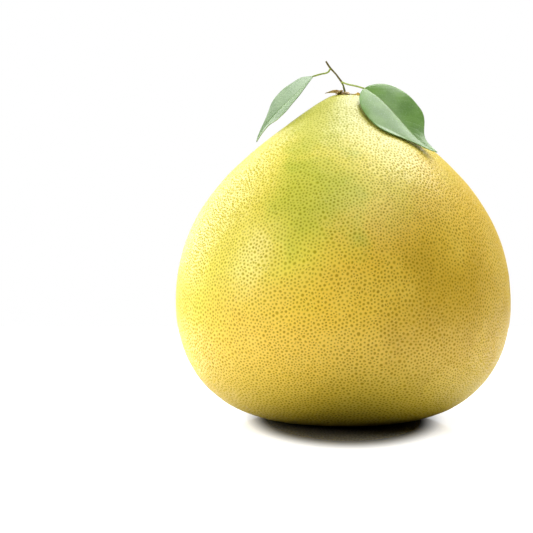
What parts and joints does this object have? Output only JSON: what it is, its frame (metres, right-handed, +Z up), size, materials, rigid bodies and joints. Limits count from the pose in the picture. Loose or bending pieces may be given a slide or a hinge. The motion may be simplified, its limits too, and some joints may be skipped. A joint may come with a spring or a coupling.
{
  "type": "pomelo",
  "caption": "Whole pear-shaped pomelo as picked, with a dried calyx, a short twig and leaves, resting on a small flat spot.",
  "frame": {"origin": "centre of the small flat spot that the fruit rests on", "axes": "+Z up from the flat spot to the calyx and twig, +X towards the leaf that lies on the fruit's shoulder, -Y towards the front"},
  "size_m": [0.1703, 0.1696, 0.1818],
  "materials": {
    "peel": "waxy pomelo peel, lemon yellow to gold with green patches, thickly dotted with sunken olive oil glands",
    "dry_calyx": "dried, papery brown calyx",
    "twig_bark": "thin olive-brown twig bark, matt",
    "petiole_green": "soft light green leaf stalk",
    "leaf_green": "citrus leaf, mid green with a light sheen, paler midrib and veins"
  },
  "bodies": {
    "root": {"fruit": "peel", "calyx_disc": "dry_calyx", "sepal_1": "dry_calyx", "sepal_2": "dry_calyx", "sepal_3": "dry_calyx", "sepal_4": "dry_calyx", "sepal_5": "dry_calyx", "twig": "twig_bark", "petiole_left": "petiole_green", "petiole_right": "petiole_green", "leaf_left": "leaf_green", "leaf_right": "leaf_green"}
  },
  "joints": []
}
